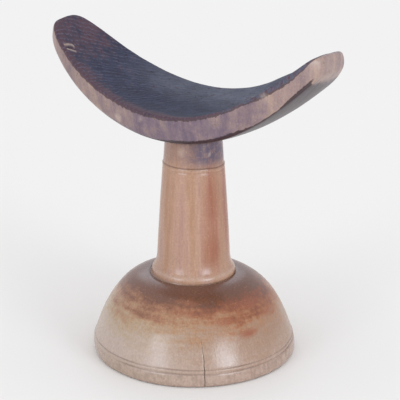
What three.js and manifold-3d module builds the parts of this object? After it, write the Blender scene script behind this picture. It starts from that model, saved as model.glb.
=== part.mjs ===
// A carved wooden headrest, cut from one block: a domed foot, a tapering shaft and a curved plate
// for the head. Millimetres, +Z up. The origin is the middle of the flat underside. The plate runs
// along X, its front faces -Y.

import * as THREE from 'three';
import { mergeVertices } from 'three/addons/utils/BufferGeometryUtils.js';
import Module from 'manifold-3d';

// The foot: a low rim band under a dome that is steep at the rim and flattens towards the shaft.
// A pair is [radius, height].
const FOOT_RADIUS = 55;
const UNDERSIDE_RADIUS = 52.6;
const RIM_WIDEST_HEIGHT = 2.4;
const RIM_TOP_RADIUS = 54.5;
const DOME_STEEP = [52.3, 11.8];
const DOME_SHOULDER = [46, 41.2];
const DOME_HEIGHT = 44.4;

// The shaft: a rolled lip behind a cut ring where it leaves the dome, a cove, and a taper with a
// slight swelling. Above the collar it is a little thinner.
const RING_WIDTH = 1.5;
const RING_DEPTH = 0.5;
const LIP_RADIUS = 22.4;
const LIP_HEIGHT = 3.9;
const SHAFT_FOOT = [19.5, 54.4];
const SHAFT_SWELL = [18.2, 80];
const COLLAR_RADIUS = 16.5;
const COLLAR_STEP = 0.45;
const SHAFT_TOP = [14.7, 127];

// The lines cut round the rim and the collar: [height, width, depth].
const RIM_LINES = [[7.5, 1.0, 0.6], [9.6, 0.9, 0.45]];
const COLLAR_LINES = [[105.3, 0.7, 0.4], [107.0, 1.0, 0.65]];
const RIM_LINE_STEP = 0.4;

// The plate. Its plan is a squarish oval, a little wider on the right. Each quarter has its own
// squareness, at the tip and along the side. The plate is thickest over the shaft.
const PLATE_LENGTH = 159;
const PLATE_WIDTH = 65.5;
const PLATE_HEIGHT = 134.6;
const WIDER_RIGHT = 0.14;
const FRONT_LEFT = [2.65, 3.4];
const FRONT_RIGHT = [2.2, 3.4];
const BACK_LEFT = [2.5, 3.7];
const BACK_RIGHT = [2.5, 2.45];
const THICKNESS_MIDDLE = 14;
const THICKNESS_TIP = 7.2;

// The plate's curve rises to each tip, a little more steeply at the end. Across its width the top
// is dished, more so to the right, and the underside bellied. The right tip leans back a little.
// The back rim swells up along each arm: [height, middle, reach].
const RISE = 37.8;
const TIP_RISE = 3.4;
const DISH = 4.2;
const DISH_TO_RIGHT = 0.5;
const BELLY = 4;
const RIGHT_LEAN = -0.1;
const BACK_SWELLS = [[0.6, -37, 28], [2.7, 42, 16]];
const BACK_SWELLS_FROM = 28;

// The plate's side wall slopes in towards the underside and turns into both faces by a soft edge.
const EDGE_REACH = 3.3;
const EDGE_SQUARENESS = 4;
const WALL_SLOPE = 4;

// Fineness of the facets. Each face of the plate has rings at these shares of its width, and the
// rings inside the last share close on the plate's middle.
const TURNED_SIDES = 64;
const PLATE_SIDES = 72;
const EDGE_STEPS = 10;
const FACE_RINGS = [0.3, 0.6, 0.85];
const SPINE_SHRINK = 0.8;

// Foot and shaft as one turned form, drawn from the middle of the underside upwards. The top end
// lies hidden inside the plate.
function turnedProfile() {
  const points = [new THREE.Vector2(0, 0)];
  const line = (radius, height) => points.push(new THREE.Vector2(radius, height));
  const round = (steps, ...controls) => {
    const ends = controls.map(([radius, height]) => new THREE.Vector2(radius, height));
    const Curve = ends.length === 2 ? THREE.QuadraticBezierCurve : THREE.CubicBezierCurve;
    points.push(...new Curve(points.at(-1), ...ends).getPoints(steps).slice(1));
  };
  const cutLine = ([height, width, depth], radiusBelow, radiusAbove) => {
    line(radiusBelow, height - width / 2);
    line((radiusBelow + radiusAbove) / 2 - depth, height);
    line(radiusAbove, height + width / 2);
  };

  const bandTop = RIM_LINES[0][0] - RIM_LINES[0][1] / 2;
  const landRadius = RIM_TOP_RADIUS - RIM_LINE_STEP;
  line(UNDERSIDE_RADIUS, 0);
  round(3, [FOOT_RADIUS, 0], [FOOT_RADIUS, RIM_WIDEST_HEIGHT]);
  round(2, [FOOT_RADIUS, (RIM_WIDEST_HEIGHT + bandTop) / 2], [RIM_TOP_RADIUS, bandTop]);
  cutLine(RIM_LINES[0], RIM_TOP_RADIUS, landRadius);
  cutLine(RIM_LINES[1], landRadius, landRadius - RIM_LINE_STEP);
  round(14, DOME_STEEP, DOME_SHOULDER, [LIP_RADIUS + RING_WIDTH, DOME_HEIGHT]);

  const lipTop = DOME_HEIGHT + LIP_HEIGHT;
  line(LIP_RADIUS, DOME_HEIGHT - RING_DEPTH);
  line(LIP_RADIUS, DOME_HEIGHT + RING_WIDTH / 2);
  round(3, [LIP_RADIUS, (DOME_HEIGHT + lipTop) / 2 + 1], [LIP_RADIUS - 1.2, lipTop]);
  round(3, [SHAFT_FOOT[0] + 0.6, lipTop + 1.5], SHAFT_FOOT);

  round(3, SHAFT_SWELL, [COLLAR_RADIUS, COLLAR_LINES[0][0] - COLLAR_LINES[0][1] / 2]);
  cutLine(COLLAR_LINES[0], COLLAR_RADIUS, COLLAR_RADIUS);
  cutLine(COLLAR_LINES[1], COLLAR_RADIUS, COLLAR_RADIUS - COLLAR_STEP);
  line(...SHAFT_TOP);
  line(0, SHAFT_TOP[1]);
  return points;
}

// The plate's section from the middle of the underside, round the edge, to the middle of the top.
// x is the distance inwards or outwards from the plate's spine, y the height: 0 below, 1 above.
function plateSection() {
  const innerReach = PLATE_WIDTH / 2 - EDGE_REACH;
  const rings = FACE_RINGS.map((share) => innerReach * share);
  const section = [new THREE.Vector2(0, 0)];
  for (const ring of rings) section.push(new THREE.Vector2(ring, 0));
  for (let i = 0; i <= EDGE_STEPS; i += 1) {
    const turn = (i / EDGE_STEPS - 0.5) * Math.PI;
    const out = Math.abs(Math.cos(turn)) ** (2 / EDGE_SQUARENESS);
    const up = Math.sign(turn) * Math.abs(Math.sin(turn)) ** (2 / EDGE_SQUARENESS);
    section.push(new THREE.Vector2(innerReach + EDGE_REACH * out, (1 + up) / 2));
  }
  for (const ring of rings.toReversed()) section.push(new THREE.Vector2(ring, 1));
  section.push(new THREE.Vector2(0, 1));
  return section;
}

// Carries a point of the flat round disc to its place on the bent plate.
function bendPoint(point) {
  const depth = 1 - point.y;
  const reach = Math.hypot(point.x, point.z);
  const angle = Math.atan2(-point.z, point.x);
  const halfWidth = PLATE_WIDTH / 2;
  const halfLength = PLATE_LENGTH / 2;

  const quarters = Math.sin(angle) < 0 ? [FRONT_LEFT, FRONT_RIGHT] : [BACK_LEFT, BACK_RIGHT];
  const [atTip, atSide] = Math.cos(angle) < 0 ? quarters[0] : quarters[1];
  const along = Math.sign(Math.cos(angle)) * Math.abs(Math.cos(angle)) ** (2 / atTip);
  const side = Math.sign(Math.sin(angle)) * Math.abs(Math.sin(angle)) ** (2 / atSide);
  const across = side * (1 + WIDER_RIGHT * along);
  const inset = WALL_SLOPE * depth * Math.min(1, reach / halfWidth);
  const spine = (halfLength - halfWidth) * Math.min(1, reach / (SPINE_SHRINK * halfWidth));
  const x = (spine + reach - inset) * along;
  const y = (reach - inset) * across;

  // The curve's height and slope here, and how far the surface lies below it along its normal.
  const u = x / halfLength;
  const v = y / halfWidth;
  const curve = RISE * u ** 2 + TIP_RISE * u ** 4;
  const slope = (2 * RISE * u + 4 * TIP_RISE * u ** 3) / halfLength;
  const below = depth * (THICKNESS_MIDDLE + (THICKNESS_TIP - THICKNESS_MIDDLE) * u ** 2);
  const dish = DISH * (1 + DISH_TO_RIGHT * u);
  const crossCurve = (dish * (1 - depth) + BELLY * depth) * v ** 2;
  const outward = x + below * slope / Math.hypot(1, slope);
  const lean = RIGHT_LEAN * y * Math.max(0, outward / halfLength) ** 3;
  const backward = Math.min(1, Math.max(0, y) / BACK_SWELLS_FROM) ** 2;
  let swell = 0;
  for (const [rise, middle, length] of BACK_SWELLS) {
    swell += rise * backward * Math.exp(-(((outward - middle) / length) ** 2));
  }
  const height = PLATE_HEIGHT + curve + crossCurve - below / Math.hypot(1, slope) + lean + swell;
  point.set(outward, y, height);
}

function plateGeometry() {
  const plate = new THREE.LatheGeometry(plateSection(), PLATE_SIDES);
  const point = new THREE.Vector3();
  const positions = plate.attributes.position;
  for (let i = 0; i < positions.count; i += 1) {
    bendPoint(point.fromBufferAttribute(positions, i));
    positions.setXYZ(i, point.x, point.y, point.z);
  }
  return plate;
}

const wasm = await Module();
wasm.setup();

function toSolid(geometry) {
  geometry.deleteAttribute('normal');
  geometry.deleteAttribute('uv');
  const merged = mergeVertices(geometry, 1e-4);
  return new wasm.Manifold(new wasm.Mesh({
    numProp: 3,
    vertProperties: merged.attributes.position.array,
    triVerts: merged.index.array,
  }));
}

function toGeometry(solid) {
  const mesh = solid.getMesh();
  const geometry = new THREE.BufferGeometry();
  geometry.setAttribute('position', new THREE.BufferAttribute(mesh.vertProperties, 3));
  geometry.setIndex(new THREE.BufferAttribute(mesh.triVerts, 1));
  geometry.computeVertexNormals();
  return geometry;
}

const turned = new THREE.LatheGeometry(turnedProfile(), TURNED_SIDES);
turned.rotateX(Math.PI / 2);
const carving = toSolid(turned).add(toSolid(plateGeometry()));

const waxedWood = new THREE.MeshStandardMaterial({ color: 0xa98a78, roughness: 0.45, metalness: 0 });
const headrest = new THREE.Mesh(toGeometry(carving), waxedWood);
headrest.name = 'headrest';

const group = new THREE.Group();
group.add(headrest);
export default group;
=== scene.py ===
# %% [markdown]
# # A carved wooden headrest
# A headrest holds the sleeper's head clear of the ground. This one is cut from a single block: a
# domed foot, a tapering shaft and a curved plate. The model is one mesh with one finish, old
# hardwood that hands and oil have polished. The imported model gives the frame: the origin is the
# middle of the flat underside, +Z is up, and the plate runs along X with its front to -Y.

import math

import bmesh
import bpy
from mathutils import Matrix, Vector, geometry, interpolate, noise
from mathutils.bvhtree import BVHTree


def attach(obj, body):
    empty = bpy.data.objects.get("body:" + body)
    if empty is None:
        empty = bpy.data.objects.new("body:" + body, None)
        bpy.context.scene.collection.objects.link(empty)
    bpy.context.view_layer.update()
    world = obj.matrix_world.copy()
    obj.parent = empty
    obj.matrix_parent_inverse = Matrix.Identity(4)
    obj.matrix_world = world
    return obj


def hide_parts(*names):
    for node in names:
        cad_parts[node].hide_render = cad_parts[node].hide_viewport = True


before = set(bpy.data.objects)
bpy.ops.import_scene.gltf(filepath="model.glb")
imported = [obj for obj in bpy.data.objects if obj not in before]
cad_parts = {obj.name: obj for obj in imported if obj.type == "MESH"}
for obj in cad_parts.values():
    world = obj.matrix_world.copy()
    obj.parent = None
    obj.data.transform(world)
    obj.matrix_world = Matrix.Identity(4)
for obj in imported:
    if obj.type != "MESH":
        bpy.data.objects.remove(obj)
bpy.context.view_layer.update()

# %% [markdown]
# The carver's sizes are easiest to read in millimetres, so the shapes are drawn in them and made
# metres at the end. Three small helpers are used everywhere: a smooth step from 0 to 1, soft noise
# that wanders between -1 and 1 over a given number of millimetres, and a power that keeps the sign.

# %% Small helpers
MM = 0.001


def smooth(start, end, value):
    share = min(1, max(0, (value - start) / (end - start)))
    return share * share * (3 - 2 * share)


def wander(point, length, seed=0):
    spot = Vector(point) / length
    return noise.noise(spot + Vector((17.3 * seed, 5.1 * seed, 9.7 * seed)))


def power(value, exponent):
    return math.copysign(abs(value) ** exponent, value)


# %% [markdown]
# ## Foot and shaft
# On the real piece these are rounded by eye with an adze and a knife, then scraped. They could be
# a stack of cones and a squashed sphere, but one outline turned round the upright axis keeps every
# curve flowing into the next. The outline is drawn from the middle of the underside to a point
# hidden inside the plate. A pair is a radius and a height.

# %% The outline of foot and shaft
FOOT_RADIUS = 55
UNDERSIDE_RADIUS = 52.6
RIM_WIDEST_HEIGHT = 2.4
RIM_TOP = (54.5, 7.0)
DOME_STEEP = (52.3, 11.8)
DOME_SHOULDER = (46, 41.2)
DOME_TOP = 44.4
LIP_RADIUS = 22.4
LIP_TOP = (21.2, 48.3)
SHAFT_FOOT = (19.5, 54.4)
SHAFT_SWELL = (18.2, 80)
COLLAR_RADIUS = 16.5
SHAFT_TOP = (14.7, 127)

# A cut line is a height, a width and a depth. Above the rim lines and the upper collar line the
# wood steps in a little.
RIM_LINES = [(7.5, 1.0, 0.42), (9.6, 0.9, 0.36)]
RIM_LINE_STEP = 0.4
COLLAR_LINES = [(104.2, 0.7, 0.2), (106.5, 0.9, 0.36)]
COLLAR_STEP = 0.45

outline = [(0, 0)]


def line(steps, radius, height):
    r0, h0 = outline[-1]
    for step in range(1, steps + 1):
        share = step / steps
        outline.append((r0 + (radius - r0) * share, h0 + (height - h0) * share))


def curve(steps, *controls):
    ends = [Vector((r, h)) for r, h in (outline[-1], *controls)]
    if len(ends) == 3:
        first, middle, last = ends
        ends = [first, first.lerp(middle, 2 / 3), last.lerp(middle, 2 / 3), last]
    points = geometry.interpolate_bezier(*ends, steps + 1)
    outline.extend((point.x, point.y) for point in points[1:])


def hollow(depth, share):
    return depth * math.sin(math.pi * share) ** 1.3


def cut(height, width, depth, radius_below, radius_above):
    line(1, radius_below, height - width / 2)
    for step in range(1, 8):
        share = step / 8
        radius = radius_below + (radius_above - radius_below) * share - hollow(depth, share)
        outline.append((radius, height + width * (share - 0.5)))
    line(1, radius_above, height + width / 2)


rim_radii = [RIM_TOP[0] - RIM_LINE_STEP * step for step in range(3)]
line(9, UNDERSIDE_RADIUS, 0)
curve(6, (FOOT_RADIUS, 0), (FOOT_RADIUS, RIM_WIDEST_HEIGHT))
curve(6, (FOOT_RADIUS, (RIM_WIDEST_HEIGHT + RIM_TOP[1]) / 2), RIM_TOP)
cut(*RIM_LINES[0], rim_radii[0], rim_radii[1])
cut(*RIM_LINES[1], rim_radii[1], rim_radii[2])
curve(44, DOME_STEEP, DOME_SHOULDER, (LIP_RADIUS + 1.5, DOME_TOP))
curve(3, (LIP_RADIUS + 0.5, DOME_TOP - 0.2), (LIP_RADIUS + 0.15, DOME_TOP - 0.5))
curve(3, (LIP_RADIUS - 0.1, DOME_TOP - 0.3), (LIP_RADIUS, DOME_TOP + 0.75))
curve(8, (LIP_RADIUS, (DOME_TOP + LIP_TOP[1]) / 2 + 1), LIP_TOP)
curve(8, (SHAFT_FOOT[0] + 0.6, LIP_TOP[1] + 1.5), SHAFT_FOOT)
curve(34, SHAFT_SWELL, (COLLAR_RADIUS, COLLAR_LINES[0][0] - COLLAR_LINES[0][1] / 2))
cut(*COLLAR_LINES[0], COLLAR_RADIUS, COLLAR_RADIUS)
cut(*COLLAR_LINES[1], COLLAR_RADIUS, COLLAR_RADIUS - COLLAR_STEP)
line(12, *SHAFT_TOP)
line(1, 0, SHAFT_TOP[1])
print("outline points:", len(outline))

# %% [markdown]
# The outline becomes a chain of edges, and a spin sweeps it through a full turn. Where the chain
# touches the axis, the spin leaves a heap of points, so doubles are merged before the normals are
# turned outwards.

# %% Spin it
TURN_STEPS = 320


def spin_round(chain, steps):
    shape = bmesh.new()
    points = [shape.verts.new((r, 0, h)) for r, h in chain]
    edges = [shape.edges.new(pair) for pair in zip(points, points[1:])]
    bmesh.ops.spin(
        shape, geom=points + edges, cent=(0, 0, 0), axis=(0, 0, 1),
        angle=math.tau, steps=steps, use_merge=True)
    bmesh.ops.remove_doubles(shape, verts=shape.verts, dist=1e-4)
    bmesh.ops.recalc_face_normals(shape, faces=shape.faces)
    return shape


turned = spin_round(outline, TURN_STEPS)
print("turned faces:", len(turned.faces))

# %% [markdown]
# A lathe would leave perfect circles, and this was cut by hand. So the rounds are a little uneven,
# the two lines round the rim wander up and down, and the lower of them fades out on the left. The
# dome is a bit fuller on its left shoulder, and the heel below it is worn back.

# %% The carver's hand on foot and shaft
def rim_wobble(x, y):
    return 0.45 * wander((x, y, 0), 26, 1) + 0.12 * wander((x, y, 0), 6, 2)


def collar_wobble(x, y):
    return 0.25 * wander((x, y, 50), 14, 3) - 0.7 * smooth(0.9, 1.5, math.atan2(x, -y))


def line_strength(x, y, number):
    angle = math.atan2(x, -y)
    steady = 0.75 + 0.6 * wander((x, y, number), 16, 4)
    if number == 0:
        steady *= 1 - 0.85 * smooth(-0.1, -0.5, angle) * smooth(-2.4, -1.9, angle)
    return max(0, min(1, steady))


HEEL_WEAR = math.radians(-36)
FULL_SHOULDER = math.radians(-61)


def sculpt_turned(vertex):
    x, y, z = vertex.co
    radius = math.hypot(x, y)
    if radius < 1e-6 or z > SHAFT_TOP[1] - 0.1:
        return
    out = Vector((x / radius, y / radius, 0))
    for group in (RIM_LINES, COLLAR_LINES):
        for number, (height, width, depth) in enumerate(group):
            if abs(z - height) < width / 2:
                share = (z - height) / width + 0.5
                radius += hollow(depth, share) * (1 - line_strength(x, y, number))
    z += rim_wobble(x, y) * smooth(4, 6.5, z) * smooth(16, 10.5, z)
    z += collar_wobble(x, y) * smooth(101, 104.5, z) * smooth(111, 108, z)
    angle = math.atan2(x, -y)
    if z < DOME_TOP:
        radius -= 0.12 + 0.12 * wander((x, y, z), 30, 5) + 0.05 * wander((x, y, z), 9, 10)
        radius -= 1.1 * smooth(8.5, 1, z) * smooth(0.9, 0.2, abs(angle - HEEL_WEAR))
        radius += 0.8 * math.cos(angle - FULL_SHOULDER) * math.exp(-((z - 41) / 5) ** 2)
    else:
        radius += 0.15 * wander((x, y, z * 0.5), 24, 6)
    around = out * radius
    vertex.co = (around.x, around.y, z)


for vertex in turned.verts:
    if vertex.co.z > 0.01:
        sculpt_turned(vertex)

# %% [markdown]
# ## The plate
# The head rests on a plate that is curved like a saddle: it rises to both ends, its top is slightly
# dished and its underside bellied. A grid could be bent to this, but its rim would be a staircase.
# A disc spun from a section has clean rings that follow the rim, so the section is spun first and
# every point is then carried to its place on the curve.

# %% A disc with a soft edge
PLATE_LENGTH = 159
PLATE_WIDTH = 65.5
PLATE_HEIGHT = 134.6
EDGE_REACH = 3.3
EDGE_SQUARENESS = 4
PLATE_STEPS = 320
EDGE_STEPS = 22
FACE_STEPS = 38

half_length = PLATE_LENGTH / 2
half_width = PLATE_WIDTH / 2
inner_reach = half_width - EDGE_REACH

section = [(0, 0)]
section += [(inner_reach * step / FACE_STEPS, 0) for step in range(1, FACE_STEPS)]
for step in range(EDGE_STEPS + 1):
    turn = (step / EDGE_STEPS - 0.5) * math.pi
    out = power(math.cos(turn), 2 / EDGE_SQUARENESS)
    up = power(math.sin(turn), 2 / EDGE_SQUARENESS)
    section.append((inner_reach + EDGE_REACH * out, (1 + up) / 2))
section += [(inner_reach * step / FACE_STEPS, 1) for step in range(FACE_STEPS - 1, 0, -1)]
section.append((0, 1))

plate = spin_round(section, PLATE_STEPS)
print("plate faces:", len(plate.faces))

# %% [markdown]
# The bend is a sum of plain curves: how far the plate reaches, how it rises, how thick it is, how
# its two faces bow. Two layers of numbers go with the points, how deep a point lies between the top
# and the underside, and how far it is from the rim, because the finish follows both.

# %% Bend the disc into the plate
RISE = 37.8
TIP_RISE = 3.4
THICKNESS = (14, 7.2)
DISH = 4.2
BELLY = 4
WIDER_RIGHT = 0.14
FRONT_LEFT = (2.65, 3.4)
FRONT_RIGHT = (2.2, 3.4)
BACK_LEFT = (2.5, 3.7)
BACK_RIGHT = (2.5, 2.45)
WALL_SLOPE = 4
SPINE_SHRINK = 0.8
DISH_TO_RIGHT = 0.5
RIGHT_LEAN = -0.1

# The back rim swells up along each arm: how much, where along X, and how far it reaches.
BACK_SWELLS = [(0.6, -37, 28), (2.7, 42, 16)]
BACK_SWELLS_FROM = 28

# The ends are more worn: their edge is rounder, their wall more upright, and what stands past a
# certain length is pulled back. The right tip's top edge is a touch higher.
TIP_SOFTNESS = 1.8
TIP_WALL_EASING = 0.4
TIP_ROUNDING_FROM = 80
TIP_PULL = 0.7
RIGHT_TIP_LIFT = 0.7

depth_layer = plate.verts.layers.float.new("depth")
rim_layer = plate.verts.layers.float.new("from_rim")


def softened(reach, up, angle):
    share = 0.25 * smooth(-0.85, -1, math.cos(angle)) + smooth(0.92, 0.985, math.cos(angle))
    if reach <= inner_reach or share == 0:
        return reach, up, share
    turn = math.atan2(up ** 2, ((reach - inner_reach) / EDGE_REACH) ** 2)
    flat = 2 / (EDGE_SQUARENESS - TIP_SOFTNESS * share)
    reach = inner_reach + EDGE_REACH * math.cos(turn) ** flat
    return reach, math.copysign(math.sin(turn) ** flat, up), share


def bend(vertex):
    angle = math.atan2(vertex.co.y, vertex.co.x)
    reach = math.hypot(vertex.co.x, vertex.co.y)
    reach, up, share = softened(reach, 2 * vertex.co.z - 1, angle)
    depth = (1 - up) / 2
    quarters = (FRONT_LEFT, FRONT_RIGHT) if math.sin(angle) < 0 else (BACK_LEFT, BACK_RIGHT)
    at_tip, at_side = quarters[0] if math.cos(angle) < 0 else quarters[1]
    along = power(math.cos(angle), 2 / at_tip)
    across = power(math.sin(angle), 2 / at_side) * (1 + WIDER_RIGHT * along)
    inset = WALL_SLOPE * (1 - TIP_WALL_EASING * share) * depth * min(1, reach / half_width)
    spine = (half_length - half_width) * min(1, reach / (SPINE_SHRINK * half_width))
    x = (spine + reach - inset) * along
    y = (reach - inset) * across
    u = x / half_length
    v = y / half_width
    curve_height = RISE * u ** 2 + TIP_RISE * u ** 4
    slope = (2 * RISE * u + 4 * TIP_RISE * u ** 3) / half_length
    below = depth * (THICKNESS[0] + (THICKNESS[1] - THICKNESS[0]) * u ** 2)
    cross = (DISH * (1 + DISH_TO_RIGHT * u) * (1 - depth) + BELLY * depth) * v ** 2
    outward = x + below * slope / math.hypot(1, slope)
    outward -= TIP_PULL * math.copysign(max(0, abs(outward) - TIP_ROUNDING_FROM), outward)
    lean = RIGHT_LEAN * y * max(0, outward / half_length) ** 3
    z = PLATE_HEIGHT + curve_height + cross - below / math.hypot(1, slope) + lean
    z += RIGHT_TIP_LIFT * (1 - depth) * smooth(68, 78, outward)
    backward = min(1, max(0, y) / BACK_SWELLS_FROM) ** 2
    for rise, middle, length in BACK_SWELLS:
        z += rise * backward * math.exp(-((outward - middle) / length) ** 2)
    vertex[depth_layer] = depth
    vertex[rim_layer] = half_width - reach
    vertex.co = (outward, y, z)


for vertex in plate.verts:
    bend(vertex)
plate.normal_update()

# %% [markdown]
# Near the left tip a knife slipped and left a small hooked gouge. Its raised lips are pale, partly
# pale wood and partly a painted highlight, and its hollow is dark, partly dirt and partly painted
# shade. It is drawn as strokes through points on the plate's top. The faces there are too large for
# it, so only they are divided.

# %% The gouge
PALE_STROKES = [
    [(-67.6, -17.7, 164.4), (-67.3, -14.2, 164.0), (-66.6, -11.8, 163.1), (-65.8, -11.8, 162.4)],
    [(-65.4, -18.2, 162.6), (-64.7, -16.5, 161.8), (-63.4, -13.7, 160.6)],
]
HOLLOW_STROKE = [(-66.5, -17.3, 163.4), (-65.9, -14.5, 162.7), (-64.9, -13.0, 161.8)]
GOUGE_REACH = 8


def to_stroke(point, stroke):
    gaps = []
    for start, end in zip(stroke, stroke[1:]):
        spot, share = geometry.intersect_point_line(point, start, end)
        spot = Vector(start).lerp(Vector(end), min(1, max(0, share)))
        gaps.append((point - spot).length)
    return min(gaps)


gouge_edges = [
    edge for edge in plate.edges
    if all(to_stroke(vertex.co, HOLLOW_STROKE) < GOUGE_REACH for vertex in edge.verts)
    and edge.verts[0][depth_layer] < 0.1 and edge.calc_length() > 0.9]
bmesh.ops.subdivide_edges(plate, edges=gouge_edges, cuts=3, use_grid_fill=True)
plate.normal_update()
print("edges divided for the gouge:", len(gouge_edges))

# %% [markdown]
# Scraping leaves shallow waves on the top, and the corners are worn uneven. Each point moves a
# little along its own normal, less at the tips, where the plate has its full length. A fine groove
# marks the crease between wall and underside.

# %% The carver's hand on the plate
def sculpt_plate(vertex, normal):
    x, y, z = vertex.co
    depth = vertex[depth_layer]
    waves = wander((x / 3, y, z / 3), 5, 7)
    broad = wander((x, y, z), 22, 8)
    worn = 0.5 + 0.5 * wander((x, y, z), 6, 9)
    edge = smooth(5, 0.5, vertex[rim_layer])
    free = smooth(80, 72, abs(x))
    move = 0.07 * waves + 0.18 * broad * free
    move -= 0.25 * worn * edge * smooth(0.3, 0, depth)
    move -= 0.12 * worn * edge * smooth(0.75, 1, depth) + 0.06 * (1 - free)
    crease = math.exp(-((depth - 0.955) / 0.02) ** 2) * smooth(40, -5, y)
    move -= 0.15 * crease
    if depth < 0.2 and x < -55:
        move -= 0.7 * smooth(1.6, 0.2, to_stroke(vertex.co, HOLLOW_STROKE))
        move += 0.2 * max(smooth(1.1, 0.2, to_stroke(vertex.co, pale)) for pale in PALE_STROKES)
    return vertex.co + normal * move


moved = [(vertex, sculpt_plate(vertex, vertex.normal.copy())) for vertex in plate.verts]
for vertex, place in moved:
    vertex.co = place
plate.normal_update()
plate_surface = BVHTree.FromBMesh(plate)

# %% [markdown]
# ## One block
# The two shapes overlap, and the real piece has no joint, so a Boolean union makes one skin of
# them. Its mesh is then real all through, with nothing hidden inside, as a carver's block is.

# %% Join foot, shaft and plate
def as_object(shape, name):
    mesh = bpy.data.meshes.new(name)
    shape.to_mesh(mesh)
    made = bpy.data.objects.new(name, mesh)
    bpy.context.collection.objects.link(made)
    return made


def combined(body, tool, operation):
    change = body.modifiers.new("join", "BOOLEAN")
    change.operation = operation
    change.object = tool
    change.solver = "EXACT"
    view = bpy.context.evaluated_depsgraph_get()
    mesh = bpy.data.meshes.new_from_object(body.evaluated_get(view))
    body.modifiers.clear()
    body.data = mesh
    bpy.data.objects.remove(tool)
    return body


headrest = as_object(turned, "headrest_wood")
headrest = combined(headrest, as_object(plate, "plate_tool"), "UNION")
print("faces after the union:", len(headrest.data.polygons))

# %% [markdown]
# ## The drying crack
# Wood shrinks most round its rings, so an old block opens in a line that points at its heart. The
# crack starts on the dome, runs down through the rim and turns in under the foot. A thin wedge with
# a few kinks, cut out of the block, gives it real depth. Its path is a list of angles in degrees,
# heights and widths.

# %% The crack's path
CRACK_PATH = [
    (32.9, 27.5, 0.05), (33.1, 26.1, 0.2), (33.5, 23.8, 0.3), (34.0, 21.0, 0.42), (34.1, 18.5, 0.4),
    (34.5, 17.0, 0.45), (34.8, 14.0, 0.5), (34.7, 11.5, 0.5), (34.9, 8.9, 0.55), (34.8, 6.5, 0.5),
    (35.0, 4.2, 0.5), (34.9, 2.0, 0.5), (35.0, -1.0, 0.45),
]


# Where the crack is wider it also reaches deeper, and its inner edge leans in with the dome.
def crack_corners(degrees, height, width):
    angle = math.radians(degrees)
    out = Vector((math.sin(angle), -math.cos(angle), 0))
    side = Vector((math.cos(angle), math.sin(angle), 0)) * width * 0.42
    level = Vector((0, 0, height))
    inner = 52.2 - 9 * width - 0.14 * max(0, height - 8)
    outer = FOOT_RADIUS + 2
    return [level + out * outer + side, level + out * outer - side, level + out * inner]


# %% [markdown]
# The wedge grows from a triangle, which is extruded from level to level. Each extrusion leaves the
# last triangle behind as a wall inside the wedge, so it is deleted before the wedge is used.

# %% Cut the crack
wedge = bmesh.new()
corners = crack_corners(*CRACK_PATH[0])
start = wedge.faces.new([wedge.verts.new(corner) for corner in corners])
end = start
for level in CRACK_PATH[1:]:
    grown = bmesh.ops.extrude_face_region(wedge, geom=[end])
    if end is not start:
        bmesh.ops.delete(wedge, geom=[end], context="FACES_ONLY")
    end = next(item for item in grown["geom"] if isinstance(item, bmesh.types.BMFace))
    places = crack_corners(*level)
    for vertex in end.verts:
        nearest = min(range(3), key=lambda k: (vertex.co - corners[k]).length)
        vertex.co = places[nearest]
    corners = places
bmesh.ops.recalc_face_normals(wedge, faces=wedge.faces)
print("open edges of the wedge:", sum(len(edge.link_faces) != 2 for edge in wedge.edges))
headrest = combined(headrest, as_object(wedge, "wedge_tool"), "DIFFERENCE")
print("faces with the crack:", len(headrest.data.polygons))

# %% [markdown]
# ## What the finish needs to know
# A finish on a real carving follows its use: grease where the head lay, dirt in every line, pale
# wood where a corner has rubbed. Some of the numbers paint light instead: a painted sheen on the
# plate's top, painted shade in the crease, where shaft and plate meet and at the foot's bottom
# corner, and painted highlights on the collar bead and the gouge's lips. So each point of the skin
# gets a few numbers between 0 and 1 that say how much of each it has. The material reads them by
# name and breaks them up with fine grain.
# A streak on the shaft is an angle in degrees, a height, a width, a length and a strength. A patch
# or a rubbed spot is a middle, a size along each axis and a strength.

# %% Where the red, the grey and the pale wood lie
RED_STREAKS = [
    (66, 88, 7, 46, 0.85), (62, 58, 10, 20, 0.75), (48, 80, 6, 60, 0.55), (-14, 84, 6, 34, 0.3),
    (100, 80, 10, 60, 1.0), (140, 80, 9, 40, 0.7), (-120, 90, 10, 40, 0.6), (-170, 70, 8, 40, 0.7),
]
RED_PATCHES = [
    ((43, -20, 24), (10, 12, 4), 1.0), ((44, 2, 29), (12, 14, 4), 0.9),
    ((38, -12, 36), (16, 18, 4), 1.0), ((33, -28, 31), (10, 12, 4), 0.8),
    ((-24, -32, 37), (16, 12, 3), 0.3), ((14, -36, 35), (18, 12, 5), 0.7),
    ((22, -43, 22), (4, 3, 3), 0.4), ((-40, 18, 28), (12, 14, 6), 0.7),
    ((5, 42, 30), (16, 8, 6), 0.8), ((30, 34, 28), (10, 9, 6), 0.6),
]
RUBBED_SPOTS = [
    ((-29, -28, 133), (3, 3, 4), 0.8), ((-15, -31, 135), (1.6, 2, 4), 0.7),
    ((55, -29, 156), (3, 3, 2.5), 0.4), ((13.6, -7.6, 113.6), (1.3, 1.3, 1.3), 0.6),
    ((1, -16, 115), (4, 3, 3.5), 0.35),
]


GREY_SIDE = math.radians(72)


def near(point, centre, size):
    gap = Vector([(a - b) / c for a, b, c in zip(point, centre, size)]).length
    return smooth(1, 0, gap)


def red_amount(point, radius, angle):
    amount = 0
    if point.z > 46:
        for degrees, height, width, tall, strength in RED_STREAKS:
            turn = math.radians(degrees) - angle
            across = math.atan2(math.sin(turn), math.cos(turn)) * radius
            reach = math.hypot(across / width, (point.z - height) / tall)
            amount += strength * smooth(1, 0, reach)
    else:
        for centre, size, strength in RED_PATCHES:
            amount += strength * near(point, centre, size)
    return min(1, amount)


def grey_amount(point, angle):
    turn = GREY_SIDE - angle
    across = abs(math.atan2(math.sin(turn), math.cos(turn)))
    return smooth(104, 112, point.z) * (0.3 + 0.7 * smooth(1.3, 0.4, across))
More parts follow.
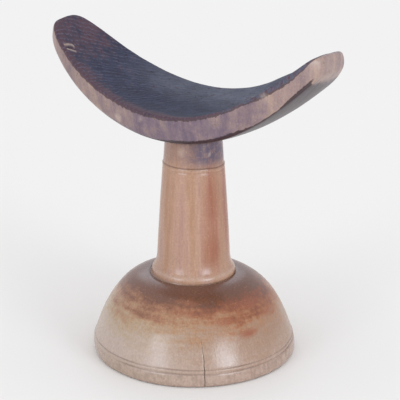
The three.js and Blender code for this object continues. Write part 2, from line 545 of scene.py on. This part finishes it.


# %% [markdown]
# Dirt stays where a cloth doesn't reach: in the cut lines and in the ring round the lip. The dark
# at the bottom corner of the rim is painted shade, where the foot meets the floor. What stands
# proud, the bead between the collar lines and the lip, is rubbed pale by hands; on the bead the
# paleness is also a painted highlight, strongest at the front and front right.

# %% Where the dirt and painted shade lie
LINE_DIRT = 0.36
COLLAR_DIRT = (0.05, 0.36)
BEAD_HEIGHT = 105.2


def dirt_and_shade_amount(point, x, y, radius):
    amount = 0
    if radius > 45:
        for number, (height, width, _) in enumerate(RIM_LINES):
            gap = abs(point.z - height - rim_wobble(x, y))
            amount += LINE_DIRT * smooth(width * 0.5, 0.05, gap) * line_strength(x, y, number)
    if radius < 20:
        for strength, (height, width, _) in zip(COLLAR_DIRT, COLLAR_LINES):
            gap = abs(point.z - height - collar_wobble(x, y))
            amount += strength * smooth(width * 0.5, 0.05, gap)
    ring = math.hypot(radius - LIP_RADIUS - 0.2, point.z - DOME_TOP + 0.35)
    amount += 0.45 * smooth(0.9, 0.2, ring)
    # Painted shade: a contact shadow darkens the foot's bottom corner.
    amount += 0.4 * smooth(1.2, 0.2, point.z) * smooth(50, 53, radius)
    return min(1, amount)


def wear_and_highlight_amount(point, x, y, radius):
    amount = sum(strength * near(point, centre, size) for centre, size, strength in RUBBED_SPOTS)
    if radius < 20:
        height = point.z - collar_wobble(x, y)
        angle = math.atan2(x, -y)
        # On the bead the pale colour is partly wear and partly a painted highlight, strongest at the
        # front and front right.
        bright = 0.3 + 0.7 * smooth(-0.5, 0, angle) * smooth(1.9, 1.3, angle)
        amount += bright * math.exp(-((height - BEAD_HEIGHT) / 0.45) ** 2)
    if abs(point.z - 47.2) < 3 and radius < 23:
        amount += 0.25 * smooth(1.6, 0.2, abs(point.z - 47.4))
    return min(1, amount)


# %% [markdown]
# The plate's finish follows its shape: the greasy top, the wall and the underside by depth, and
# brown near the rim and the left end. A painted sheen turns the top a lighter grey towards the back
# and along the right arm, and painted shade darkens the crease where the wall meets the underside.

# %% The zones of the plate
def plate_zone(depth, x):
    lowered = 0.18 * smooth(42, 64, x) * smooth(79, 70, x)
    return depth - lowered * smooth(0.9, 0.5, depth)


def brown_amount(from_rim, x, y):
    front_rim = 0.85 * smooth(15, 1, from_rim) * smooth(8, -8, y) * (1 - 0.5 * smooth(15, 45, x))
    back_rim = 0.35 * smooth(5, 0.5, from_rim)
    left_end = 0.6 * smooth(-48, -68, x)
    return max(front_rim, back_rim, left_end)


# Painted sheen: the top's colour turns a lighter grey towards the back and along the right arm.
def painted_sheen_amount(x, y):
    return min(1, smooth(-4, 26, y) * smooth(-60, -20, x) + 0.7 * smooth(5, 45, x))


# Painted shade: the crease where the wall meets the underside is darkened in colour.
def crease_shade_amount(depth, x, y):
    width = 0.03 + 0.08 * smooth(-10, 8, x) * smooth(50, 36, x) + 0.1 * smooth(60, 71, x)
    there = smooth(14, -4, y) * smooth(77.5, 74, x) * (0.35 + 0.65 * smooth(-24, -4, x))
    return there * smooth(1 - 1.5 * width, 1 - 0.8 * width, depth) * smooth(1.004, 0.998, depth)


# %% [markdown]
# A point of the joined skin lies either on the plate or on the turned form, and the nearest of the
# two shapes from before the union tells which. On the plate it also lends its depth and its
# distance from the rim. Points inside the crack lie on neither, and take the dirt.

# %% Give every point its numbers
mesh = headrest.data
names = (
    "plate", "zone", "brown", "painted_sheen", "crease", "tip", "shaft", "warm", "red", "grey",
    "wear_and_highlight", "dirt_and_shade")
masks = {name: [0.0] * len(mesh.vertices) for name in names}
plate.faces.ensure_lookup_table()
turned_surface = BVHTree.FromBMesh(turned)
for vertex in mesh.vertices:
    point = vertex.co
    index = vertex.index
    x, y, z = point
    radius = math.hypot(x, y)
    angle = math.atan2(x, -y)
    spot, normal, face_index, gap = plate_surface.find_nearest(point)
    masks["wear_and_highlight"][index] = wear_and_highlight_amount(point, x, y, radius)
    if gap < 0.01:
        corners = plate.faces[face_index].verts
        shares = interpolate.poly_3d_calc([corner.co for corner in corners], spot)
        depth = sum(s * c[depth_layer] for s, c in zip(shares, corners))
        from_rim = sum(s * c[rim_layer] for s, c in zip(shares, corners))
        masks["plate"][index] = 1
        masks["warm"][index] = smooth(18, 64, abs(x - 6))
        masks["zone"][index] = plate_zone(depth, x)
        masks["brown"][index] = brown_amount(from_rim, x, y)
        masks["painted_sheen"][index] = painted_sheen_amount(x, y)
        masks["crease"][index] = crease_shade_amount(depth, x, y)
        masks["tip"][index] = smooth(73, 78, x)
        # Dirt and painted shade: the underside darkens near the shaft.
        masks["dirt_and_shade"][index] = 0.8 * smooth(19, 15.5, radius) * smooth(135, 128, z)
        if depth < 0.2 and x < -55:
            # The gouge's raised lips are painted pale, partly pale wood and partly a painted
            # highlight; its hollow is darkened, partly dirt and partly painted shade.
            pale = max(smooth(0.8, 0.2, to_stroke(point, stroke)) for stroke in PALE_STROKES)
            masks["wear_and_highlight"][index] = 0.75 * pale
            masks["dirt_and_shade"][index] = 0.5 * smooth(1.2, 0.3, to_stroke(point, HOLLOW_STROKE))
        continue
    spot, normal, face_index, inside = turned_surface.find_nearest(point)
    masks["shaft"][index] = smooth(23.4, 22.9, radius) * smooth(43, 44, z)
    masks["warm"][index] = smooth(-0.6, 1.1, angle) * smooth(2.8, 1.9, angle)
    masks["red"][index] = red_amount(point, radius, angle)
    masks["grey"][index] = grey_amount(point, angle)
    # The cut lines and the crack take dirt; the shaft just under the plate darkens with dirt and
    # painted shade.
    masks["dirt_and_shade"][index] = max(
        dirt_and_shade_amount(point, x, y, radius), smooth(0.05, 0.4, inside), 0.85 * smooth(3.6, 0.4, gap))

for name, amounts in masks.items():
    mesh.attributes.new(name, "FLOAT", "POINT").data.foreach_set("value", amounts)
    print(name, "is strong on", sum(amount > 0.5 for amount in amounts), "points")

# %% [markdown]
# The library works in metres. The finished mesh rides on the model's only body and stands in for
# its only node.

# %% Millimetres to metres
mesh.transform(Matrix.Scale(MM, 4))
for polygon in mesh.polygons:
    polygon.use_smooth = True
wood = bpy.data.materials.new("oiled_carved_hardwood")
mesh.materials.append(wood)
mesh.update()
print("triangles:", sum(len(polygon.vertices) - 2 for polygon in mesh.polygons))

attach(headrest, "root")
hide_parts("headrest")

# %% [markdown]
# ## The finish
# Dense tropical hardwood, carved, scraped and then oiled and waxed by years of handling. It gives a
# soft waxy sheen on the foot and shaft, less on the plate's wall and hardly any on its scraped top.
# The grain stands upright, so on the shaft it shows as long streaks and on the plate as rings. One
# helper adds a node with its settings and links; another turns a hex colour into the linear one.

# %% Helpers for the finish
wood.use_nodes = True
nodes = wood.node_tree.nodes
links = wood.node_tree.links
nodes.clear()


def colour(code):
    parts = [int(code[start:start + 2], 16) / 255 for start in (1, 3, 5)]
    return [p / 12.92 if p <= 0.04045 else ((p + 0.055) / 1.055) ** 2.4 for p in parts] + [1]


def add(kind, inputs=None, stops=None, **settings):
    made = nodes.new(kind)
    for name, value in settings.items():
        setattr(made, name, value)
    for socket, value in (inputs or {}).items():
        if isinstance(value, bpy.types.NodeSocket):
            links.new(value, made.inputs[socket])
        else:
            made.inputs[socket].default_value = value
    if stops:
        ramp = made.color_ramp
        while len(ramp.elements) < len(stops):
            ramp.elements.new(1)
        for element, (position, code) in zip(ramp.elements, stops):
            element.position = position
            element.color = colour(code)
    return made


def per(x, y, z):
    return [1000 / x, 1000 / y, 1000 / z]


# %% [markdown]
# Six noises carry the whole finish, with sizes in millimetres across, across and along the upright
# fibres: broad streaks, fine fibres, soft blotches, tilted arcs, small specks and grit. With them
# go growth rings round the tree's heart, which stood a little in front of the shaft.

# %% The grains
NO_TILT = (0, 0, 0)
ARC_TILT = (0.06, 0.16, 0)
GRAINS = [
    ((5, 5, 90), NO_TILT, 3, 0.55), ((0.9, 0.9, 22), NO_TILT, 2, 0.6),
    ((11, 11, 9), NO_TILT, 4, 0.6), ((20, 20, 2.8), ARC_TILT, 4, 0.6),
    ((2.2, 2.2, 3.0), NO_TILT, 3, 0.65), ((0.9, 0.9, 1.1), NO_TILT, 2, 0.7),
]

where = add("ShaderNodeTexCoord").outputs["Object"]
grains = []
for size, tilt, detail, roughness in GRAINS:
    place = add("ShaderNodeMapping", {"Vector": where, "Rotation": tilt, "Scale": per(*size)})
    grain = add("ShaderNodeTexNoise", {
        "Vector": place.outputs[0], "Scale": 1, "Detail": detail, "Roughness": roughness})
    grains.append(grain.outputs[0])
streak, fibre, blotch, arc, speck, grit = grains

# %% The growth rings
RING_SPACING = 0.0023
RINGS_PER_UNIT = 20 / math.tau
heart = add("ShaderNodeMapping", {"Vector": where, "Location": (-0.010, 0.030, 0)})
rings = add("ShaderNodeTexWave", {
    "Vector": heart.outputs[0], "Scale": 1 / RING_SPACING / RINGS_PER_UNIT, "Distortion": 7,
    "Detail": 3, "Detail Scale": 0.9, "Detail Roughness": 0.6},
    wave_type="RINGS", rings_direction="Z").outputs["Fac"]
mask = {name: add("ShaderNodeAttribute", attribute_name=name).outputs["Fac"] for name in masks}
print("masks read:", sorted(mask))

# %% [markdown]
# The dome's colour follows its height. Hands lifted the piece by the foot of the shaft, so the dome
# darkens upwards from a pale greyish tan through ochre and red to a dark brown. The steps are
# ragged: blotches, arcs and specks shake the height by a few millimetres, less near the lip.

# %% The dome
height = add("ShaderNodeSeparateXYZ", {0: where}).outputs["Z"]
shake = -0.0245
for grain, strength in ((blotch, 0.013), (arc, 0.022), (speck, 0.014)):
    shake = add("ShaderNodeMath", {
        0: grain, 1: strength, 2: shake}, operation="MULTIPLY_ADD").outputs[0]
calm = add("ShaderNodeMapRange", {
    "Value": height, "From Min": 0.0435, "From Max": 0.037, "To Min": 0.25, "To Max": 1})
ragged = add("ShaderNodeMath", {0: shake, 1: calm.outputs[0]}, operation="MULTIPLY")
level = add("ShaderNodeMath", {0: height, 1: ragged.outputs[0]}, operation="ADD")
dome_share = add("ShaderNodeMath", {0: level.outputs[0], 1: 20}, operation="MULTIPLY")
dome_left = add("ShaderNodeValToRGB", {"Fac": dome_share.outputs[0]}, stops=[
    (0.06, "#ae9786"), (0.3, "#b8a395"), (0.46, "#b39c86"), (0.56, "#ad9072"), (0.66, "#a67d60"),
    (0.74, "#92654c"), (0.82, "#785140"), (0.9, "#775345")])
dome_right = add("ShaderNodeValToRGB", {"Fac": dome_share.outputs[0]}, stops=[
    (0.06, "#ae9384"), (0.3, "#a2836e"), (0.46, "#9e7b64"), (0.56, "#a07455"), (0.65, "#985f3e"),
    (0.73, "#824b33"), (0.81, "#6c4735"), (0.9, "#755144")])
dome_tone = add("ShaderNodeMix", {
    0: mask["warm"], 6: dome_left.outputs[0], 7: dome_right.outputs[0]}, data_type="RGBA")

# %% [markdown]
# The shaft is a pinkish tan that wanders between ochre and rose from streak to streak. Under the
# plate it is scuffed and greyed. Red-brown shows where old oil has soaked in. Pale flecks lie all
# over, and the rim band is stained in small darker spots.

# %% The shaft
tan = add("ShaderNodeValToRGB", {"Fac": streak}, stops=[
    (0.32, "#a67c61"), (0.45, "#ad856c"), (0.55, "#b08974"), (0.68, "#a77f70")])
shaft_or_dome = add("ShaderNodeMix", {
    0: mask["shaft"], 6: dome_tone.outputs[2], 7: tan.outputs[0]}, data_type="RGBA")
red_grain = add("ShaderNodeMix", {0: mask["shaft"], 2: arc, 3: streak}, data_type="FLOAT")
red_broken = add("ShaderNodeMath", {0: mask["red"], 1: red_grain.outputs[0]}, operation="MULTIPLY")
red_share = add("ShaderNodeMapRange", {
    "Value": red_broken.outputs[0], "From Min": 0.12, "From Max": 0.5, "To Max": 0.85})
reddened = add("ShaderNodeMix", {
    0: red_share.outputs[0], 6: shaft_or_dome.outputs[2], 7: colour("#94563c")}, data_type="RGBA")
grey_broken = add("ShaderNodeMapRange", {
    "Value": speck, "From Min": 0.66, "From Max": 0.48, "To Min": 0.62, "To Max": 0.95})
grey_share = add("ShaderNodeMath", {
    0: mask["grey"], 1: grey_broken.outputs[0]}, operation="MULTIPLY", use_clamp=True)
greyed = add("ShaderNodeMix", {
    0: grey_share.outputs[0], 6: reddened.outputs[2], 7: colour("#574a5c")}, data_type="RGBA")
fleck_share = add("ShaderNodeMapRange", {
    "Value": grit, "From Min": 0.66, "From Max": 0.76, "To Max": 0.5})
flecked = add("ShaderNodeMix", {
    0: fleck_share.outputs[0], 6: greyed.outputs[2], 7: colour("#bfa689")}, data_type="RGBA")
rim_here = add("ShaderNodeMapRange", {"Value": height, "From Min": 0.0078, "From Max": 0.0068})
rim_stain = add("ShaderNodeMapRange", {
    "Value": speck, "From Min": 0.44, "From Max": 0.58, "To Max": 0.4})
rim_share = add("ShaderNodeMath", {
    0: rim_here.outputs[0], 1: rim_stain.outputs[0]}, operation="MULTIPLY")
turned_tone = add("ShaderNodeMix", {
    0: rim_share.outputs[0], 6: flecked.outputs[2], 7: colour("#8c7265")}, data_type="RGBA")

# %% [markdown]
# The plate has three zones. Its top is nearly black with hair oil and sweat, a greasy slate that
# turns brown at the rim and the ends. Its wall is a greyed mauve brown, tan towards the ends. Its
# underside is dull and grey. The borders are ragged, so the depth that they follow is shaken.

# %% The plate's top
zone_shake = add("ShaderNodeMath", {0: speck, 1: 0.2, 2: -0.1}, operation="MULTIPLY_ADD")
zone = add("ShaderNodeMath", {0: mask["zone"], 1: zone_shake.outputs[0]}, operation="ADD").outputs[0]
slate = add("ShaderNodeValToRGB", {"Fac": blotch}, stops=[
    (0.35, "#2e2b3e"), (0.5, "#2d2f43"), (0.65, "#373a4f")])
# Painted sheen: a lighter grey is mixed into the slate towards the back and along the right arm.
painted_sheen_share = add("ShaderNodeMath", {0: mask["painted_sheen"], 1: blotch}, operation="MULTIPLY")
slate_with_sheen = add("ShaderNodeMix", {
    0: painted_sheen_share.outputs[0], 6: slate.outputs[0], 7: colour("#74757f")}, data_type="RGBA")
brown_blotch = add("ShaderNodeMath", {0: blotch, 1: speck}, operation="ADD")
brown_shaken = add("ShaderNodeMath", {
    0: brown_blotch.outputs[0], 1: 1.8, 2: mask["brown"]}, operation="MULTIPLY_ADD")
brown_share = add("ShaderNodeMapRange", {
    "Value": brown_shaken.outputs[0], "From Min": 2.02, "From Max": 2.5, "To Max": 0.85})
top_plain = add("ShaderNodeMix", {
    0: brown_share.outputs[0], 6: slate_with_sheen.outputs[2], 7: colour("#573c43")},
    data_type="RGBA")
ring_line = add("ShaderNodeMapRange", {"Value": rings, "From Min": 0.7, "From Max": 0.95})
ring_broken = add("ShaderNodeMapRange", {
    "Value": speck, "From Min": 0.42, "From Max": 0.6, "To Max": 0.42})
ring_share = add("ShaderNodeMath", {
    0: ring_line.outputs[0], 1: ring_broken.outputs[0]}, operation="MULTIPLY")
top_tone = add("ShaderNodeMix", {
    0: ring_share.outputs[0], 6: top_plain.outputs[2], 7: colour("#6a6c80")}, data_type="RGBA")

# %% [markdown]
# On the wall and the underside the same streaks and blotches choose between the colours. A dark
# line runs along the top edge, and painted shade fills the crease.

# %% The plate's wall and underside
wall_mauve = add("ShaderNodeValToRGB", {"Fac": streak}, stops=[
    (0.3, "#665463"), (0.5, "#74606b"), (0.7, "#85706f")])
wall_tan = add("ShaderNodeValToRGB", {"Fac": streak}, stops=[
    (0.3, "#856d6b"), (0.5, "#997f77"), (0.7, "#ab8f7e")])
warm_shaken = add("ShaderNodeMath", {0: blotch, 1: 2.4, 2: -1.2}, operation="MULTIPLY_ADD")
warm_share = add("ShaderNodeMath", {
    0: mask["warm"], 1: warm_shaken.outputs[0]}, operation="ADD", use_clamp=True)
wall_tone = add("ShaderNodeMix", {
    0: warm_share.outputs[0], 6: wall_mauve.outputs[0], 7: wall_tan.outputs[0]}, data_type="RGBA")
ochre_share = add("ShaderNodeMapRange", {
    "Value": speck, "From Min": 0.58, "From Max": 0.72, "To Max": 0.55})
wall_flecks = add("ShaderNodeMath", {
    0: ochre_share.outputs[0], 1: fleck_share.outputs[0]}, operation="MAXIMUM")
wall_spotted = add("ShaderNodeMix", {
    0: wall_flecks.outputs[0], 6: wall_tone.outputs[2], 7: colour("#b09480")}, data_type="RGBA")
under_tone = add("ShaderNodeValToRGB", {"Fac": rings}, stops=[
    (0.35, "#3a2e38"), (0.65, "#4a3e47")])
under_or_tip = add("ShaderNodeMix", {
    0: mask["tip"], 6: under_tone.outputs[0], 7: wall_tan.outputs[0]}, data_type="RGBA")
under_share = add("ShaderNodeMapRange", {"Value": mask["zone"], "From Min": 0.97, "From Max": 1.0})
wall_and_under = add("ShaderNodeMix", {
    0: under_share.outputs[0], 6: wall_spotted.outputs[2], 7: under_or_tip.outputs[2]},
    data_type="RGBA")
top_share = add("ShaderNodeMapRange", {"Value": zone, "From Min": 0.15, "From Max": 0.07})
plate_tone = add("ShaderNodeMix", {
    0: top_share.outputs[0], 6: wall_and_under.outputs[2], 7: top_tone.outputs[2]},
    data_type="RGBA")
edge_gap = add("ShaderNodeMath", {0: zone, 1: 0.12, 2: 0.035}, operation="COMPARE")
edge_share = add("ShaderNodeMath", {0: edge_gap.outputs[0], 1: 0.75}, operation="MULTIPLY")
edged = add("ShaderNodeMix", {
    0: edge_share.outputs[0], 6: plate_tone.outputs[2], 7: colour("#402b2d")}, data_type="RGBA")
# Painted shade: a purple-black colour fills the crease between wall and underside.
crease_shade_shaken = add("ShaderNodeMath", {0: speck, 1: 2.4, 2: mask["crease"]}, operation="MULTIPLY_ADD")
crease_shade_share = add("ShaderNodeMapRange", {
    "Value": crease_shade_shaken.outputs[0], "From Min": 1.45, "From Max": 1.9, "To Max": 0.92})
crease_shaded = add("ShaderNodeMix", {
    0: crease_shade_share.outputs[0], 6: edged.outputs[2], 7: colour("#2e1a22")}, data_type="RGBA")
all_tone = add("ShaderNodeMix", {
    0: mask["plate"], 6: turned_tone.outputs[2], 7: crease_shaded.outputs[2]}, data_type="RGBA")

# %% [markdown]
# Rubbed spots show paler wood, with a painted highlight on the collar bead and the gouge's lips.
# Dirt lies in the cut lines and the crack. Where the shaft meets the plate the darkening is partly
# dirt and partly painted shade, and at the foot's bottom corner it is painted shade. The fine
# fibres and the grit vary the colour a touch. The fibres also raise a bump of a few hundredths of a
# millimetre, and so do the rings on the top. The sheen wanders with the blotches.

# %% Rubbed wood and painted highlights, dirt and painted shade, fibres and sheen
# Pale worn wood lightens the colour here, with painted highlights on the collar bead and the gouge's
# lips.
wear_and_highlight_share = add("ShaderNodeMath", {0: mask["wear_and_highlight"], 1: 0.85}, operation="MULTIPLY")
wear_and_highlight = add("ShaderNodeMix", {
    0: wear_and_highlight_share.outputs[0], 6: all_tone.outputs[2], 7: colour("#ccb5a3")}, data_type="RGBA")
# Dirt darkens the colour here, and so does painted shade under the plate and at the foot's bottom
# corner.
dirtied_and_shaded = add("ShaderNodeMix", {
    0: mask["dirt_and_shade"], 6: wear_and_highlight.outputs[2], 7: colour("#3f2b26")}, data_type="RGBA")
fibre_shade = add("ShaderNodeMapRange", {
    "Value": fibre, "From Min": 0.3, "From Max": 0.7, "To Min": 0.93, "To Max": 1.06})
grit_shade = add("ShaderNodeMapRange", {
    "Value": grit, "From Min": 0.3, "From Max": 0.7, "To Min": 0.9, "To Max": 1.1})
on_top = add("ShaderNodeMath", {0: top_share.outputs[0], 1: mask["plate"]}, operation="MULTIPLY")
shade = add("ShaderNodeMath", {
    0: fibre_shade.outputs[0], 1: grit_shade.outputs[0]}, operation="MULTIPLY")
shaded = add("ShaderNodeVectorMath", {
    0: dirtied_and_shaded.outputs[2], 1: shade.outputs[0]}, operation="MULTIPLY")
sheen = add("ShaderNodeMapRange", {
    "Value": blotch, "From Min": 0.35, "From Max": 0.65, "To Min": 0.2, "To Max": 0.3})
sheen_top = add("ShaderNodeMapRange", {
    "Value": speck, "From Min": 0.35, "From Max": 0.65, "To Min": 0.75, "To Max": 0.95})
sheen_low = add("ShaderNodeMix", {
    0: mask["plate"], 2: sheen.outputs[0], 3: 0.36}, data_type="FLOAT")
sheen_here = add("ShaderNodeMix", {
    0: on_top.outputs[0], 2: sheen_low.outputs[0], 3: sheen_top.outputs[0]}, data_type="FLOAT")
ring_relief = add("ShaderNodeMath", {0: rings, 1: 3}, operation="MULTIPLY")
relief = add("ShaderNodeMix", {
    0: on_top.outputs[0], 2: fibre, 3: ring_relief.outputs[0]}, data_type="FLOAT")
bump = add("ShaderNodeBump", {"Height": relief.outputs[0], "Strength": 0.14, "Distance": 0.0004})
surface = add("ShaderNodeBsdfPrincipled", {
    "Base Color": shaded.outputs[0], "Roughness": sheen_here.outputs[0], "IOR": 1.48,
    "Normal": bump.outputs[0]})
add("ShaderNodeOutputMaterial", {"Surface": surface.outputs[0]})

# %% [markdown]
# ## Floor, light and camera
# The floor is matt and nearly white, so it takes only a soft shadow. The light is what a small
# studio gives: pale walls that fill every shadow and two soft windows low on both sides of the
# camera, whose reflections show on the dome and the lip. A third lights the plate's far rim from
# behind.

# %% Floor and walls of light
floor_shape = bmesh.new()
bmesh.ops.create_circle(floor_shape, cap_ends=True, segments=96, radius=6)
floor = as_object(floor_shape, "floor")
floor_finish = bpy.data.materials.new("pale_matt_floor")
floor_finish.use_nodes = True
floor_bsdf = floor_finish.node_tree.nodes["Principled BSDF"]
floor_bsdf.inputs["Base Color"].default_value = (0.94, 0.89, 0.83, 1)
floor_bsdf.inputs["Roughness"].default_value = 0.9
floor_bsdf.inputs["Specular IOR Level"].default_value = 0
floor.data.materials.append(floor_finish)

world = bpy.data.worlds.new("pale_room")
world.use_nodes = True
backdrop = world.node_tree.nodes["Background"]
backdrop.inputs["Color"].default_value = (0.84, 0.87, 0.93, 1)
backdrop.inputs["Strength"].default_value = 0.96
bpy.context.scene.world = world
bpy.context.scene.view_settings.view_transform = "Standard"

# %% [markdown]
# Each window is a lamp with a flat face. Its direction is an azimuth from the front and an
# elevation, both in degrees, and its size and distance are in metres.

# %% Soft windows
WINDOW_DISTANCE = 3


def window(name, azimuth, elevation, width, height, strength):
    a = math.radians(azimuth)
    e = math.radians(elevation)
    toward = Vector((math.sin(a) * math.cos(e), -math.cos(a) * math.cos(e), math.sin(e)))
    data = bpy.data.lights.new(name, "AREA")
    data.shape = "RECTANGLE"
    data.size = width
    data.size_y = height
    data.energy = strength
    lamp = bpy.data.objects.new(name, data)
    data.color = (0.78, 0.89, 1.0)
    lamp.location = toward * WINDOW_DISTANCE
    lamp.rotation_euler = toward.to_track_quat("Z", "Y").to_euler()
    lamp.visible_camera = False
    bpy.context.collection.objects.link(lamp)


window("left_window", -13, 15, 1.2, 1.3, 24)
window("right_window", 67, 13, 1.15, 1.15, 38)
window("back_window", -150, 32, 2.0, 1.2, 9)

# %% [markdown]
# The camera was found by fitting the outline of the model to the photo: where it stands, how far
# it looks down, and how long its lens is. Distances are in metres, angles in degrees.

# %% The camera
CAMERA_TURN = 28.8
CAMERA_DISTANCE = 0.84681
CAMERA_HEIGHT = 0.37995
CAMERA_TILT = 19.26
FOCAL_PIXELS = 1690
SHAFT_PIXEL = 193.63
PHOTO_WIDTH = 400

turn = math.radians(CAMERA_TURN)
eye = bpy.data.cameras.new("photo_camera")
eye.sensor_width = 36
eye.lens = FOCAL_PIXELS / PHOTO_WIDTH * eye.sensor_width
eye.shift_x = (PHOTO_WIDTH / 2 - SHAFT_PIXEL) / PHOTO_WIDTH
camera = bpy.data.objects.new("photo_camera", eye)
camera.location = (
    CAMERA_DISTANCE * math.sin(turn), -CAMERA_DISTANCE * math.cos(turn), CAMERA_HEIGHT)
camera.rotation_euler = (math.radians(90 - CAMERA_TILT), 0, turn)
bpy.context.collection.objects.link(camera)
bpy.context.scene.camera = camera
print("lens in mm:", round(eye.lens, 2))
